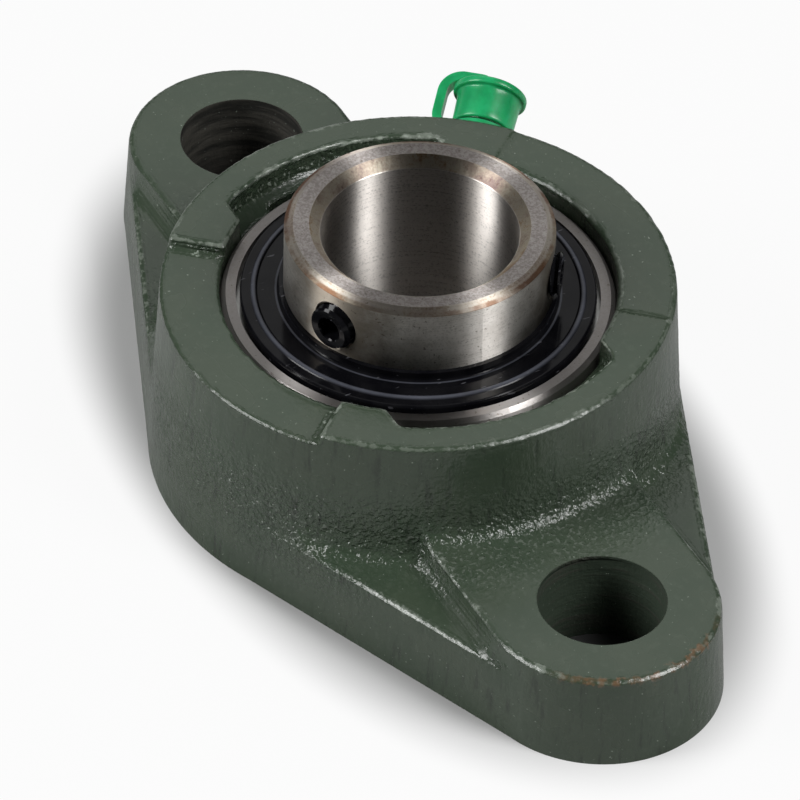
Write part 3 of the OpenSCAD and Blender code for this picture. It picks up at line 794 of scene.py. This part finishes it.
softened = {
    # node: bevel in millimetres, segments
    "nipple_cap": (0.28, 3),
    "cap_strap": (0.34, 3),
    "grease_nipple": (0.12, 2),
}


def soften(piece, width, segments):
    edges = piece.modifiers.new("edges", "BEVEL")
    edges.width = width * mm
    edges.segments = segments
    edges.limit_method = "ANGLE"
    edges.angle_limit = math.radians(35)
    applyModifiers(piece)
    clearSlivers(piece)
    bpy.ops.object.shade_smooth_by_angle(angle=math.radians(35))


def buildNippleFittings(sizes):
    for node, (width, segments) in sizes.items():
        piece = packedCopy(node, node + "Finished", joinFlat=True)
        soften(piece, width, segments)
        dress(piece, "plated_steel" if node == "grease_nipple" else "green_plastic")
        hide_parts(node)
        if node == "cap_strap":
            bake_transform(piece)
        else:
            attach(piece, {"nipple_cap": "nipple_cap", "grease_nipple": "housing"}[node])
    coil = packedCopy("nipple_spring", "nipple_springFinished", joinFlat=True)
    bpy.ops.object.shade_smooth()
    dress(coil, "ball_steel")
    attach(coil, "housing")
    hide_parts("nipple_spring")
    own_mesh(coil)


print("nipple fittings")
buildNippleFittings(softened)


# Stage: pale floor, soft studio light and the photograph's view

stageLook = {
    "azimuth": -28.256, "elevation": 41.258, "roll": 1.46,  # degrees, azimuth from +X
    "distance": 1039.1, "target": (7.37, -6.19, 14.83), "lens": 372.56,  # millimetres
    "floorSize": 12, "floorDrop": 0.02,  # metres across, millimetres under the foot
    "floor": (0.50, 0.50, 0.50), "belowHoles": (0.05, 0.05, 0.05), "world": 0.02,
    "cameraWhite": 0.93, "mirrorWhite": 0.1,
    "shade": (63, 34), "shadeEdge": (0.9, 1.15),  # half lengths of the patch that stays in the part's shadow
    "holeShade": (13, 9.5),  # painted shade: the floor is dark this near a bolt hole's axis, where it is seen through the hole
}
softBoxes = {
    # azimuth, elevation, distance in metres, width, height, radiance
    "leftBox": (-107, 34, 1.1, 0.34, 0.70, 14.6),
    "rightBox": (36, 44, 1.1, 0.28, 0.65, 17.0),
    "backBox": (152, 46, 1.6, 1.6, 1.1, 0.85),
}


def direction(azimuth, elevation):
    a, e = math.radians(azimuth), math.radians(elevation)
    return Vector((math.cos(e) * math.cos(a), math.cos(e) * math.sin(a), math.sin(e)))


def floorFinish(look):
    # outside the part's shadow white to the camera and faintly so in reflections, else plain paint, with
    # painted shade on the floor under the bolt holes
    f = Finish("paleFloor", look)
    x, y = f.place()[:2]
    glow = f.node("Emission", Color=(1, 1, 1, 1), Strength=1.0)
    seen = f.node("LightPath", out="Is Camera Ray") * look["cameraWhite"]
    mirrored = f.node("LightPath", out="Is Glossy Ray") * look["mirrorWhite"]
    through = f.node("LightPath", out="Is Transmission Ray") * look["mirrorWhite"]
    # painted shade under the bolt holes
    belowHoles = f.zone(distance(abs(x) - boltAway, y), "holeShade")
    wide, deep = look["shade"]
    lit = f.zone(distance(x / wide, y / deep), "shadeEdge") * (1 - belowHoles)
    colour = f.mix(belowHoles, look["floor"], look["belowHoles"])
    paint = f.node("BsdfPrincipled", Base_Color=colour, Roughness=0.85, Specular_IOR_Level=0.1)
    return f.show(f.node("MixShader", i0=(seen + mirrored + through) * lit, i1=paint, i2=glow))


def buildFloor(look):
    bpy.ops.mesh.primitive_plane_add(size=look["floorSize"], location=(0, 0, -look["floorDrop"] * mm))
    floor = bpy.context.object
    floor.name = "floor"
    floor.data.materials.append(floorFinish(look))


def buildLight(look, boxes):
    world = bpy.data.worlds.new("studio")
    world.use_nodes = True
    background = world.node_tree.nodes["Background"]
    background.inputs[0].default_value = (1, 1, 1, 1)
    background.inputs[1].default_value = look["world"]
    bpy.context.scene.world = world
    for name, (azimuth, elevation, reach, width, height, radiance) in boxes.items():
        toward = direction(azimuth, elevation)
        bpy.ops.object.light_add(type="AREA", location=toward * reach)
        lamp = bpy.context.object
        lamp.name = name
        lamp.data.shape = "RECTANGLE"
        lamp.data.size, lamp.data.size_y = width, height
        lamp.data.energy = radiance * math.pi * width * height
        lamp.rotation_euler = toward.to_track_quat("Z", "Y").to_euler()


def buildCamera(look):
    back = direction(look["azimuth"], look["elevation"])
    target = Vector(look["target"]) * mm
    bpy.ops.object.camera_add(location=target + back * look["distance"] * mm)
    camera = bpy.context.object
    turn = back.to_track_quat("Z", "Y") @ Quaternion((0, 0, 1), math.radians(look["roll"]))
    camera.rotation_euler = turn.to_euler()
    camera.data.lens = look["lens"]
    camera.data.clip_start, camera.data.clip_end = 0.05, 20
    bpy.context.scene.camera = camera


print("stage")
buildFloor(stageLook)
buildLight(stageLook, softBoxes)
buildCamera(stageLook)
bpy.context.scene.view_settings.view_transform = "Standard"
startFresh()
